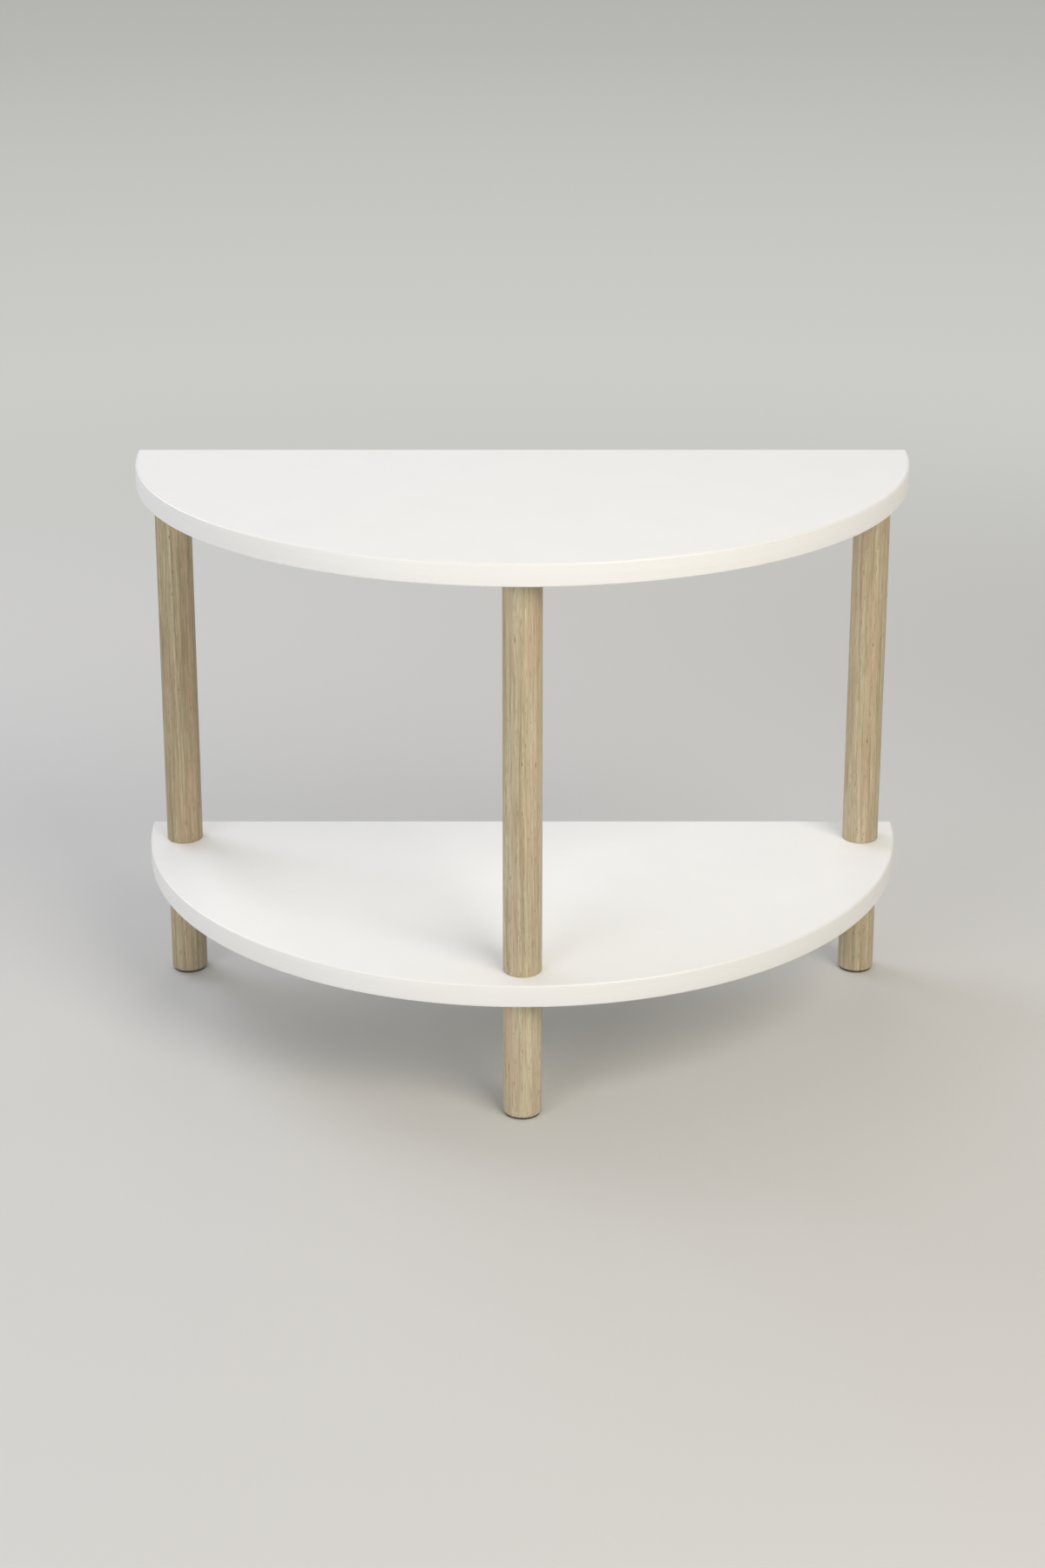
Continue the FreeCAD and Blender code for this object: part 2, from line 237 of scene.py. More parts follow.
def grain(tree: Tree, place: Socket, cell_mm: Step, detail: float = 2.0) -> Socket:
    """Draws noise whose cells have a real size.

    Args:
        tree: The node tree.
        place: Coordinates in millimetres.
        cell_mm: Length of a cell along each axis.
        detail: Octaves of finer noise.

    Returns:
        A value from 0 to 1, NOISE_MIDDLE on average.
    """
    scale = tuple(1 / length for length in cell_mm)
    cells = add_node(tree, "Mapping", {"Scale": scale}, {"Vector": place})
    noise = add_node(
        tree, "TexNoise", {"Scale": 1.0, "Detail": detail}, {"Vector": cells.outputs["Vector"]}
    )
    return noise.outputs["Fac"]


# Finishes

@dataclass(frozen=True)
class Finish(ABC):
    """A finish, which becomes a material with a principled shader."""

    name: str

    def material(self) -> Material:
        """Builds the material.

        Returns:
            The material, with its pattern on the piece's own coordinates.
        """
        material = bpy.data.materials.new(self.name)
        tree = fresh_tree(material)
        own = add_node(tree, "TexCoord")
        scaled = add_node(
            tree, "Mapping", {"Scale": (1 / MM,) * 3}, {"Vector": own.outputs["Object"]}
        )
        settings, links = self.surface(tree, scaled.outputs["Vector"])
        shader = add_node(tree, "BsdfPrincipled", settings, links)
        add_node(tree, "OutputMaterial", links={"Surface": shader.outputs["BSDF"]})
        return material

    @abstractmethod
    def surface(self, tree: Tree, place: Socket) -> Sockets:
        """Draws the finish.

        Args:
            tree: The material's node tree.
            place: The piece's own coordinates in millimetres.

        Returns:
            What is set on the shader's sockets, and what feeds the others.
        """


@dataclass(frozen=True)
class Mottled(Finish):
    """A finish that drifts between two colours, smooth or over a fine relief."""

    colour: str
    drift: str
    roughness: float
    drift_mm: Step
    # Where along the noise the drift starts to give way, and where the colour is whole.
    drift_span: Pair = (0.35, 0.65)
    # The same for the roughness, and how far it falls.
    sheen_span: Pair = (0.3, 0.7)
    roughness_drop: float = 0.0
    detail: float = 2.0
    metallic: float = 0.0
    mirror_level: float = 0.5
    fuzz: float = 0.0
    relief_mm: Step = (1.0, 1.0, 1.0)
    relief_height_mm: float = 0.0
    relief_strength: float = 1.0

    def surface(self, tree: Tree, place: Socket) -> Sockets:
        """Draws the drift, the waver of the sheen and the relief.

        Args:
            tree: The material's node tree.
            place: The piece's own coordinates in millimetres.

        Returns:
            What is set on the shader's sockets, and what feeds the others.
        """
        noise = grain(tree, place, self.drift_mm, self.detail)
        start, whole = self.drift_span
        stops = [(start, self.drift), (whole, self.colour)]
        tint = add_node(tree, "ValToRGB", links={"Fac": noise}, stops=stops)
        links: Links = {"Base Color": tint.outputs["Color"]}
        if self.roughness_drop:
            start, whole = self.sheen_span
            dull, bright = self.roughness, self.roughness - self.roughness_drop
            sheen = add_node(
                tree,
                "MapRange",
                {"From Min": start, "From Max": whole, "To Min": dull, "To Max": bright},
                {"Value": noise},
            )
            links["Roughness"] = sheen.outputs["Result"]
        if self.relief_height_mm:
            relief = add_node(
                tree,
                "Bump",
                {"Strength": self.relief_strength, "Distance": self.relief_height_mm * MM},
                {"Height": grain(tree, place, self.relief_mm, self.detail)},
            )
            links["Normal"] = relief.outputs["Normal"]
        settings: Settings = {
            "Roughness": self.roughness,
            "Metallic": self.metallic,
            "Specular IOR Level": self.mirror_level,
            "Sheen Weight": self.fuzz,
        }
        return settings, links


@dataclass(frozen=True)
class WhiteMelamine(Mottled):
    """Melamine-faced particleboard, pressed against a fine pearl-textured plate.

    The eye gets an even white with a broad satin sheen and no grain, whose sheen wavers very
    slightly with the paper under the resin.
    """

    name: str = "white_melamine_pressed_pearl"
    colour: str = "#F2F2F0"
    drift: str = "#F1F1EF"
    roughness: float = 0.58
    roughness_drop: float = 0.06
    drift_mm: Step = (45.0, 45.0, 45.0)
    # A resin surface pressed matt mirrors less than its index of refraction says.
    mirror_level: float = 0.3
    # A pearl plate's grains are about 0.4 mm across. They are drawn coarser, to show at all.
    relief_mm: Step = (1.2, 1.2, 1.2)
    relief_height_mm: float = 0.004


@dataclass(frozen=True)
class WhiteEdging(Mottled):
    """ABS edge banding, extruded, glued on hot, then trimmed and scraped to a round.

    The eye gets the board's white a touch warmer and smoother, with faint level lines from the
    extruder and a tighter highlight along the scraped arris.
    """

    name: str = "white_abs_scraped_edging"
    colour: str = "#EFEEEA"
    drift: str = "#EDECE8"
    roughness: float = 0.34
    # The die's lines are about 0.2 mm apart. They are drawn coarser, to show at all.
    drift_mm: Step = (160.0, 160.0, 1.1)
    drift_span: Pair = (0.35, 0.6)
    relief_mm: Step = drift_mm
    relief_height_mm: float = 0.002


@dataclass(frozen=True)
class PlatedSteel(Mottled):
    """Steel, thread-rolled or turned, then zinc plated.

    The eye gets a bright, slightly blue or yellow metal with a cloudy passivation.
    """

    drift_mm: Step = (5.0, 5.0, 5.0)
    metallic: float = 1.0


@dataclass(frozen=True)
class PressedFelt(Mottled):
    """Needled wool felt, pressed hard and punched out as a disc.

    The eye gets a dark, dull, fuzzy brown-grey with matted fibres and no highlight.
    """

    name: str = "grey_pressed_wool_felt"
    colour: str = "#6A6158"
    drift: str = "#453F37"
    roughness: float = 0.95
    drift_mm: Step = (0.8, 0.8, 0.8)
    drift_span: Pair = (0.4, 0.7)
    detail: float = 4.0
    fuzz: float = 0.3
    relief_mm: Step = drift_mm
    relief_height_mm: float = 0.2
    relief_strength: float = 0.8


@dataclass(frozen=True)
class LacqueredAsh(Finish):
    """Pale ash dowel, turned and sanded along the grain, under a thin matt lacquer.

    The eye gets straight lengthwise streaks where the growth rings meet the round, a slow drift
    between olive and pink, fine pores in the early wood of each ring, a few brown flecks and
    hardly any shine. Each rod was turned from a stave of its own, so no two have the same figure.
    """

    turn_deg: float
    shift_mm: float
    # How much paler the rod is drawn. Partly painted light: lower rods are drawn paler to make up
    # for the light they lack.
    paleness_with_painted_light: float
    light: str = "#CEC3A5"
    middle: str = "#B3A585"
    dark: str = "#928362"
    blush: str = "#BC9D83"
    pore: str = "#847152"
    fleck: str = "#644631"
    roughness: float = 0.55
    tone_spread: Pair = (0.2, 0.8)
    ring_mm: float = 3.2
    ring_wander: float = 4.0
    ring_detail: Pair = (2.0, 0.8)
    ring_slope_deg: float = 0.5
    ring_stretch: float = 0.03
    # Width and length of each kind of mark along the rod.
    streak_mm: Pair = (3.4, 170.0)
    fibre_mm: Pair = (1.1, 30.0)
    blush_mm: Pair = (4.5, 90.0)
    pore_mm: Pair = (0.75, 8.0)
    fleck_mm: Pair = (1.3, 10.0)
    streak_share: float = 0.8
    fibre_share: float = 0.7
    ring_share: float = 0.16
    # How far along each noise a mark starts and is whole, and how strong it is then.
    blush_mark: Step = (0.48, 0.66, 0.48)
    pore_mark: Step = (0.5, 0.72, 0.65)
    fleck_mark: Step = (0.7, 0.75, 0.85)
    # How far through a ring its pores start to thin out and are at their fewest.
    early_wood: Pair = (0.1, 0.6)
    # The share of its pores that a ring keeps in its late wood.
    late_pores: float = 0.25
    pore_relief: float = 0.6
    pore_depth_mm: float = 0.04

    def surface(self, tree: Tree, place: Socket) -> Sockets:
        """Draws the stave's figure.

        Args:
            tree: The material's node tree.
            place: The piece's own coordinates in millimetres.

        Returns:
            What is set on the shader's sockets, and what feeds the others.
        """
        turn = (0.0, math.radians(self.ring_slope_deg), math.radians(self.turn_deg))
        sawing = {"Location": (self.shift_mm,) * 3, "Rotation": turn}
        sawn = add_node(tree, "Mapping", sawing, {"Vector": place}).outputs["Vector"]
        rings = self._rings(tree, sawn)
        pores = self._pores(tree, sawn, rings)
        low, high = self.tone_spread
        colour = add_node(
            tree,
            "ValToRGB",
            links={"Fac": self._tone(tree, sawn, rings)},
            stops=[(low, self.dark), (NOISE_MIDDLE, self.middle), (high, self.light)],
        ).outputs["Color"]
        layers = [
            (self._marks(tree, sawn, self.blush_mm, self.blush_mark), self.blush),
            (pores, self.pore),
            (self._marks(tree, sawn, self.fleck_mm, self.fleck_mark), self.fleck),
        ]
        for share, tint in layers:
            colour = add_node(
                tree,
                "Mix",
                {"data_type": "RGBA", MIX_SECOND: linear(tint)},
                {MIX_SHARE: share, MIX_FIRST: colour},
            ).outputs[MIX_RESULT]
        relief = add_node(
            tree,
            "Bump",
            {"Strength": self.pore_relief, "Distance": self.pore_depth_mm * MM, "invert": True},
            {"Height": pores},
        )
        links: Links = {"Base Color": colour, "Normal": relief.outputs["Normal"]}
        return {"Roughness": self.roughness}, links

    def _lengthwise(self, tree: Tree, place: Socket, mark_mm: Pair) -> Socket:
        """Draws noise out along the rod, from a mark's width and length."""
        width, length = mark_mm
        return grain(tree, place, (width, width, length))

    def _marks(self, tree: Tree, place: Socket, mark_mm: Pair, mark: Step) -> Socket:
        """Scatters lengthwise marks.

        Args:
            tree: The node tree.
            place: Coordinates in millimetres.
            mark_mm: A mark's width and length.
            mark: Where along the noise a mark starts and is whole, and how strong it is then.

        Returns:
            A value from 0, bare wood, to the mark's strength.
        """
        start, whole, strength = mark
        marks = add_node(
            tree,
            "MapRange",
            {"From Min": start, "From Max": whole, "To Min": 0.0, "To Max": strength},
            {"Value": self._lengthwise(tree, place, mark_mm)},
        )
        return marks.outputs["Result"]

    def _rings(self, tree: Tree, place: Socket) -> Socket:
        """Draws the growth rings, nearly flat across so thin a rod.

        Args:
            tree: The node tree.
            place: Coordinates in millimetres.

        Returns:
            A value that climbs from 0 in the early wood to 1 in the late wood of each ring.
        """
        stretched = add_node(
            tree, "Mapping", {"Scale": (1.0, 1.0, self.ring_stretch)}, {"Vector": place}
        )
        octaves, fineness = self.ring_detail
        wave = add_node(
            tree,
            "TexWave",
            {
                "wave_type": "BANDS",
                "bands_direction": "X",
                "wave_profile": "SAW",
                "Scale": WAVE_PERIOD / self.ring_mm,
                "Distortion": self.ring_wander,
                "Detail": octaves,
                "Detail Scale": fineness,
            },
            {"Vector": stretched.outputs["Vector"]},
        )
        return wave.outputs["Fac"]

    def _tone(self, tree: Tree, place: Socket, rings: Socket) -> Socket:
        """Adds streaks, fibres and rings up to one tone.

        Args:
            tree: The node tree.
            place: Coordinates in millimetres.
            rings: The growth rings.

        Returns:
            A value about NOISE_MIDDLE plus the rod's paleness, which holds painted light, higher
            where the wood is drawn lighter.
        """
        shares = [
            (self._lengthwise(tree, place, self.streak_mm), self.streak_share),
            (self._lengthwise(tree, place, self.fibre_mm), self.fibre_share),
            (rings, -self.ring_share),
        ]
        base = NOISE_MIDDLE * (1 - sum(share for _, share in shares)) + self.paleness_with_painted_light
        so_far: Links = {}
        for layer, share in shares:
            total = add_node(
                tree, "Math", {"operation": "MULTIPLY_ADD", 1: share, 2: base}, {0: layer, **so_far}
            )
            so_far = {2: total.outputs["Value"]}
        return total.outputs["Value"]

    def _pores(self, tree: Tree, place: Socket, rings: Socket) -> Socket:
        """Marks the pores, most of them in the early wood.

        Args:
            tree: The node tree.
            place: Coordinates in millimetres.
            rings: The growth rings.

        Returns:
            A value from 0, solid wood, to the strength of a pore.
        """
        start, end = self.early_wood
        early = add_node(
            tree,
            "MapRange",
            {"From Min": start, "From Max": end, "To Min": 1.0, "To Max": self.late_pores},
            {"Value": rings},
        )
        marks = self._marks(tree, place, self.pore_mm, self.pore_mark)
        pores = add_node(
            tree, "Math", {"operation": "MULTIPLY"}, {0: early.outputs["Result"], 1: marks}
        )
        return pores.outputs["Value"]


# Modelling

def pick(piece: Piece) -> None:
    """Selects one piece alone and makes it the active one.

    Args:
        piece: The piece.
    """
    bpy.ops.object.select_all(action="DESELECT")
    piece.select_set(True)
    bpy.context.view_layer.objects.active = piece


def start_point(place: Step) -> Piece:
    """Starts a piece as one vertex, and stays in edit mode.

    Args:
        place: Where the vertex stands.

    Returns:
        The new object, at the origin.
    """
    bpy.ops.object.select_all(action="DESELECT")
    bpy.ops.mesh.primitive_plane_add(size=MM)
    piece = bpy.context.object
    bpy.ops.object.mode_set(mode="EDIT")
    bpy.ops.mesh.select_mode(type="VERT")
    bpy.ops.mesh.select_all(action="SELECT")
    bpy.ops.mesh.merge(type="CENTER")
    bpy.ops.transform.translate(value=place)
    return piece


def draw_on(steps: list[Step]) -> None:
    """Extrudes the selected vertex, step by step, to a line."""
    for step in steps:
        bpy.ops.mesh.extrude_vertices_move(TRANSFORM_OT_translate={"value": step})


def merge_seams() -> None:
    """Merges what coincides in the mesh being edited, and turns its faces outwards."""
    bpy.ops.mesh.select_all(action="SELECT")
    bpy.ops.mesh.remove_doubles(threshold=SEAM)
    bpy.ops.mesh.normals_make_consistent(inside=False)


def close_up(piece: Piece) -> None:
    """Merges the slivers that the working of a solid leaves.

    Args:
        piece: The solid.
    """
    pick(piece)
    bpy.ops.object.mode_set(mode="EDIT")
    merge_seams()
    bpy.ops.object.mode_set(mode="OBJECT")


def select_where(piece: Piece, kind: str, test: Callable[[list[Vector]], bool]) -> None:
    """Starts to edit a piece, with the edges or faces selected that a test of their points picks.

    Args:
        piece: The piece.
        kind: EDGE or FACE.
        test: Says whether what lies between some points is wanted.
    """
    pick(piece)
    bpy.ops.object.mode_set(mode="EDIT")
    bpy.ops.mesh.select_mode(type=kind)
    bpy.ops.mesh.select_all(action="DESELECT")
    bpy.ops.object.mode_set(mode="OBJECT")
    mesh = piece.data
    for part in mesh.edges if kind == "EDGE" else mesh.polygons:
        part.select = test([mesh.vertices[number].co for number in part.vertices])
    bpy.ops.object.mode_set(mode="EDIT")


def round_over(
    piece: Piece, test: EdgeTest, radius: float, segments: int = ROUND_SEGMENTS
) -> None:
    """Rounds the edges of a finished solid that a test of their two ends picks.

    Args:
        piece: The solid.
        test: Says whether the edge between two points is rounded.
        radius: Radius of the round.
        segments: Facets of the round.
    """
    select_where(piece, "EDGE", lambda points: test(*points))
    bpy.ops.mesh.bevel(offset=radius, segments=segments, affect="EDGES")
    merge_seams()
    bpy.ops.object.mode_set(mode="OBJECT")


def on_rim(radius: float, centre_y: float = 0.0) -> EdgeTest:
    """Makes a test that picks the level edges of a round.

    Args:
        radius: Radius of the rim.
        centre_y: Where its upright axis crosses the Y axis.

    Returns:
        The test, for round_over.
    """
    def level_on_rim(start: Vector, end: Vector) -> bool:
        """Says whether both ends are on the rim, at one height."""
        reaches = [math.hypot(point.x, point.y - centre_y) for point in (start, end)]
        return abs(start.z - end.z) < NEAR and all(abs(reach - radius) < NEAR for reach in reaches)

    return level_on_rim


def trim(place: Step, direction: Step) -> None:
    """Cuts the mesh being edited with a plane, closes the cut and keeps what is behind it.

    Args:
        place: A point of the plane.
        direction: The plane's normal, towards what is cut away.
    """
    bpy.ops.mesh.select_all(action="SELECT")
    bpy.ops.mesh.bisect(
        plane_co=place, plane_no=direction, use_fill=True, clear_outer=True, threshold=SEAM
    )


def apply_modifier(piece: Piece, modifier: bpy.types.Modifier) -> None:
    """Applies a modifier to its piece."""
    pick(piece)
    bpy.ops.object.modifier_apply(modifier=modifier.name)


def combine(piece: Piece, tool: Piece, how: Combine) -> None:
    """Works a solid with another one, which is used up.

    Args:
        piece: The solid that stays.
        tool: The solid that is used up.
        how: Which part of the two is kept.
    """
    modifier = piece.modifiers.new(how.name, "BOOLEAN")
    modifier.operation = how.value
    modifier.solver = "EXACT"
    modifier.object = tool
    apply_modifier(piece, modifier)
    bpy.data.objects.remove(tool)


def bore(piece: Piece, mouth: Step, radius: float, depth: float, sides: int = TURN_STEPS) -> None:
    """Takes an upright round or many-sided hole with a flat end out of a solid.

    Args:
        piece: The solid.
        mouth: The middle of the hole's mouth, on the underside of the solid.
        radius: Radius of the hole, to its corners.
        depth: Depth of the hole above its mouth.
        sides: Sides of the hole.
    """
    bpy.ops.object.select_all(action="DESELECT")
    across, along, height = mouth
    bpy.ops.mesh.primitive_cylinder_add(
        vertices=sides,
        radius=radius,
        depth=depth + OVERRUN,
        location=(across, along, height + (depth - OVERRUN) / 2),
    )
    combine(piece, bpy.context.object, Combine.DIFFERENCE)


def turned_solid(outline: list[Pair], sides: int = TURN_STEPS) -> Piece:
    """Turns a solid from half of its outline.

    Args:
        outline: Radius and height of each corner, from the axis and back to it.
        sides: Faces round the solid.

    Returns:
        The solid, about the vertical axis.
    """
    (radius, height), *others = outline
    piece = start_point((radius, 0.0, height))
    for next_radius, next_height in others:
        draw_on([(next_radius - radius, 0.0, next_height - height)])
        radius, height = next_radius, next_height
    bpy.ops.mesh.select_all(action="SELECT")
    bpy.ops.mesh.spin(steps=sides, angle=math.tau, center=(0.0, 0.0, 0.0), axis=UP)
    merge_seams()
    bpy.ops.object.mode_set(mode="OBJECT")
    return piece


def chamfer_ends(rod: Piece, radius: float, low: float, high: float, chamfer: float) -> None:
    """Cuts a threaded rod to a blank with chamfered ends.

    Args:
        rod: The rod, about the vertical axis.
        radius: Radius of its crests.
        low: Height of the blank's lower end.
        high: Height of its upper end.
        chamfer: Width and height of the chamfers.
    """
    outside = radius + BLANK_ALLOWANCE
    outline = [
        (0.0, low - BLANK_ALLOWANCE),
        (outside - chamfer, low),
        (outside, low + chamfer),
        (outside, high - chamfer),
        (outside - chamfer, high),
        (0.0, high + BLANK_ALLOWANCE),
    ]
    combine(rod, turned_solid(outline), Combine.INTERSECT)


def taper_below(piece: Piece, height: float, length: float, tip_share: float) -> None:
    """Draws the lower end of a piece to a point.

    Args:
        piece: The piece, about the vertical axis.
        height: Where the taper starts.
        length: How far it goes down, to the piece's lower end.
        tip_share: Share of the width that is left at the tip.
    """
    bpy.ops.object.empty_add(location=(0.0, 0.0, height))
    start = bpy.context.object
    levels = [vertex.co.z for vertex in piece.data.vertices]
    point = piece.modifiers.new("point", "SIMPLE_DEFORM")
    point.deform_method = "TAPER"
    point.deform_axis = "Z"
    point.origin = start
    point.factor = 1 - tip_share
    point.limits = (0.0, length / (max(levels) - min(levels)))
    apply_modifier(piece, point)
    bpy.data.objects.remove(start)


def seat(piece: Piece, node: str, material: Material) -> None:
    """Finishes a modelled piece and lets it stand for its CAD node.

    Args:
        piece: The piece, with its place in its mesh.
        node: The node that it replaces.
        material: The finish.
    """
    pick(piece)
    piece.name = piece.data.name = f"{node}_dressed"
    bpy.ops.object.shade_smooth_by_angle(angle=math.radians(SMOOTH_UNDER_DEG))
    piece.data.materials.clear()
    piece.data.materials.append(material)
    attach(piece, BODY)
    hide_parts(node)
    LOG.info("%s: %s, %d faces", piece.name, material.name, len(piece.data.polygons))


def copy_to_legs(
    master: Piece, node_name: Callable[[Spot], str], finish: Callable[[str], Material]
) -> None:
    """Copies a piece to each leg's axis with a mesh of its own, and removes the one copied.

    Args:
        master: The piece, about the vertical axis.
        node_name: Names the node that a leg's copy replaces.
        finish: Gives the finish of the copy that replaces a node.
    """
    for spot in Spot:
        node = node_name(spot)
        pick(master)
        bpy.ops.object.duplicate(linked=False)
        piece = bpy.context.object
        piece.location = (*middle(node), 0.0)
        bpy.ops.object.transform_apply(location=True, rotation=False, scale=False)
        seat(piece, node, finish(node))
    bpy.data.objects.remove(master)


# The boards

@dataclass
class EdgedBoard:
    """A half-round board with its two strips of edging, drilled where the legs stand."""

    tier: Tier
    face: Material
    edging: Material
    arc_steps: int = 180
    edging_round: float = 1.5 * MM
    insert_clearance: float = 0.05 * MM
    bolt_clearance: float = 0.5 * MM

    def build(self) -> None:
        """Models the board and its edging."""
        seat(self._board(), self.tier.part("board"), self.face)
        seat(self._front_edging(), self.tier.part("front_edging"), self.edging)
        seat(self._rear_edging(), self.tier.part("rear_edging"), self.edging)

    def _wall(self) -> float:
        """Measures where the straight back is, which holds the axis of the curve."""
        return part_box(self.tier.part("rear_edging"))[1][1]

    def _radius(self, part: str) -> float:
        """Measures the radius of a part's curve, from where the curve ends."""
        end_x, end_y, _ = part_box(self.tier.part(part))[1]
        return math.hypot(end_x, self._wall() - end_y)

    def _sweep(self) -> None:
        """Sweeps all that is drawn half round, from the right end of the curve to the left."""
        bpy.ops.mesh.select_all(action="SELECT")
        bpy.ops.mesh.spin(
            steps=self.arc_steps, angle=math.pi, center=(0.0, self._wall(), 0.0), axis=UP
        )

    def _board(self) -> Piece:
        """Models the half-round panel, up to its edging.

        Returns:
            The panel, drilled for the legs.
        """
        low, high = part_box(self.tier.part("board"))
        board = start_point((self._radius("board"), self._wall(), low[2]))
        self._sweep()
        bpy.ops.mesh.select_all(action="SELECT")
        bpy.ops.mesh.edge_face_add()
        bpy.ops.mesh.extrude_region_move(
            TRANSFORM_OT_translate={"value": (0.0, 0.0, high[2] - low[2])}
        )
        trim((0.0, high[1], 0.0), BACK)
        merge_seams()
        bpy.ops.object.mode_set(mode="OBJECT")
        for spot in Spot:
            self._drill_for_leg(board, spot)
        close_up(board)
        return board

    def _drill_for_leg(self, board: Piece, spot: Spot) -> None:
        """Drills the top's blind hole for an insert nut, or the shelf's hole for a bolt.

        Args:
            board: The panel.
            spot: The leg that stands there.
        """
        filler, clearance = self.tier.bolt(spot), self.bolt_clearance
        if self.tier is Tier.TOP:
            filler, clearance = self.tier.nut(spot), self.insert_clearance
        underside, _ = heights(self.tier.part("board"))
        depth = heights(filler)[1] - underside
        bore(board, (*middle(filler), underside), half_width(filler) + clearance, depth)

    def _front_edging(self) -> Piece:
        """Models the strip that is bent round the curve.

        Returns:
            The strip, with its arrises rounded.
        """
        low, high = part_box(self.tier.part("front_edging"))
        core, radius = self._radius("board"), self._radius("front_edging")
        across, height = radius - core, high[2] - low[2]
        strip = start_point((core, self._wall(), low[2]))
        draw_on(
            [(across, 0.0, 0.0), (0.0, 0.0, height), (-across, 0.0, 0.0), (0.0, 0.0, -height)]
        )
        self._sweep()
        merge_seams()
        trim((0.0, high[1], 0.0), BACK)
        merge_seams()
        bpy.ops.object.mode_set(mode="OBJECT")
        round_over(strip, on_rim(radius, self._wall()), self.edging_round)
        return strip

    def _rear_edging(self) -> Piece:
        """Models the strip along the straight edge, over the ends of the other one.

        Returns:
            The strip, with the edges of its outer face and its ends rounded.
        """
        low, high = (Vector(corner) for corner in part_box(self.tier.part("rear_edging")))
        bpy.ops.object.select_all(action="DESELECT")
        bpy.ops.mesh.primitive_cube_add(size=1.0, location=(low + high) / 2, scale=high - low)
        strip = bpy.context.object
        bpy.ops.object.transform_apply(location=True, rotation=False, scale=True)
        round_over(
            strip, lambda start, end: (start.y + end.y) / 2 > low.y + NEAR, self.edging_round
        )
        return strip


# The legs

@dataclass(frozen=True)
class Thread:
    """A form of screw thread, whose turns start at heights that are whole numbers of its pitch."""

    pitch: float
    depth: float
    crest_width: float
    root_width: float

    def rod(self, radius: float, low: float, high: float) -> Piece:
        """Makes a threaded rod about the vertical axis, cut flat at both ends.

        Args:
            radius: Radius of the thread's crest.
            low: Height of the rod's lower end.
            high: Height of its upper end.

        Returns:
            The rod, a closed solid.
        """
        first = math.floor(low / self.pitch) - 1
        turns = math.ceil(high / self.pitch) + 1 - first
        flank = (self.pitch - self.crest_width - self.root_width) / 2
        rod = start_point((radius - self.depth, 0.0, first * self.pitch))
        root, crest = (0.0, 0.0, self.root_width), (0.0, 0.0, self.crest_width)
        draw_on([root, (self.depth, 0.0, flank), crest, (-self.depth, 0.0, flank)])
        bpy.ops.object.mode_set(mode="OBJECT")
        helix = rod.modifiers.new("helix", "SCREW")
        helix.screw_offset = self.pitch
        helix.iterations = turns
        helix.steps = helix.render_steps = TURN_STEPS
        apply_modifier(rod, helix)
        bpy.ops.object.mode_set(mode="EDIT")
        merge_seams()
        trim((0.0, 0.0, low), DOWN)
        trim((0.0, 0.0, high), UP)
        merge_seams()
        bpy.ops.object.mode_set(mode="OBJECT")
        return rod


MACHINE_THREAD = Thread(
    pitch=1.25 * MM, depth=0.767 * MM, crest_width=0.156 * MM, root_width=0.3125 * MM
)
WOOD_THREAD = Thread(pitch=3.5 * MM, depth=1.1 * MM, crest_width=0.2 * MM, root_width=1.7 * MM)
INSERT_THREAD = Thread(pitch=3.0 * MM, depth=0.8 * MM, crest_width=0.35 * MM, root_width=1.3 * MM)


@dataclass
class HangerBolt:
    """A bolt with a wood-screw end below a plain neck and a machine-screw end above it."""

    low: float
    plane: float
    high: float
    radius: float
    neck_radius: float = 3.2 * MM
    neck_length: float = 3.0 * MM
    neck_root: float = 0.3 * MM
    point_length: float = 9.0 * MM
    tip_share: float = 0.25
    chamfer: float = 0.8 * MM

    def build(self) -> Piece:
        """Models the bolt.

        Returns:
            The bolt, about the vertical axis.
        """
        bolt = MACHINE_THREAD.rod(self.radius, self.plane, self.high)
        chamfer_ends(bolt, self.radius, self.plane - self.chamfer, self.high, self.chamfer)
        neck_foot = self.plane - self.neck_length
        outline = [
            (0.0, neck_foot - self.neck_root),
            (self.neck_radius, neck_foot - self.neck_root),
            (self.neck_radius, self.plane + self.neck_root),
            (0.0, self.plane + self.neck_root),
        ]
        combine(bolt, turned_solid(outline), Combine.UNION)
        screw = WOOD_THREAD.rod(self.radius, self.low, neck_foot)
        taper_below(screw, self.low + self.point_length, self.point_length, self.tip_share)
        combine(bolt, screw, Combine.UNION)
        close_up(bolt)
        return bolt


@dataclass
class InsertNut:
    """A steel sleeve with a coarse thread outside, a machine thread inside and a hexagon socket."""

    low: float
    high: float
    radius: float
    bore_radius: float
    socket_depth: float = 4.0 * MM
    chamfer: float = 0.6 * MM

    def build(self) -> Piece:
        """Models the nut.

        Returns:
            The nut, about the vertical axis.
        """
        nut = INSERT_THREAD.rod(self.radius, self.low, self.high)
        chamfer_ends(nut, self.radius, self.low, self.high, self.chamfer)
        tap = MACHINE_THREAD.rod(self.bore_radius, self.low - OVERRUN, self.high + OVERRUN)
        combine(nut, tap, Combine.DIFFERENCE)
        corner_radius = self.bore_radius / math.cos(math.pi / HEXAGON_SIDES)
        bore(nut, (0.0, 0.0, self.low), corner_radius, self.socket_depth, HEXAGON_SIDES)
        close_up(nut)
        return nut


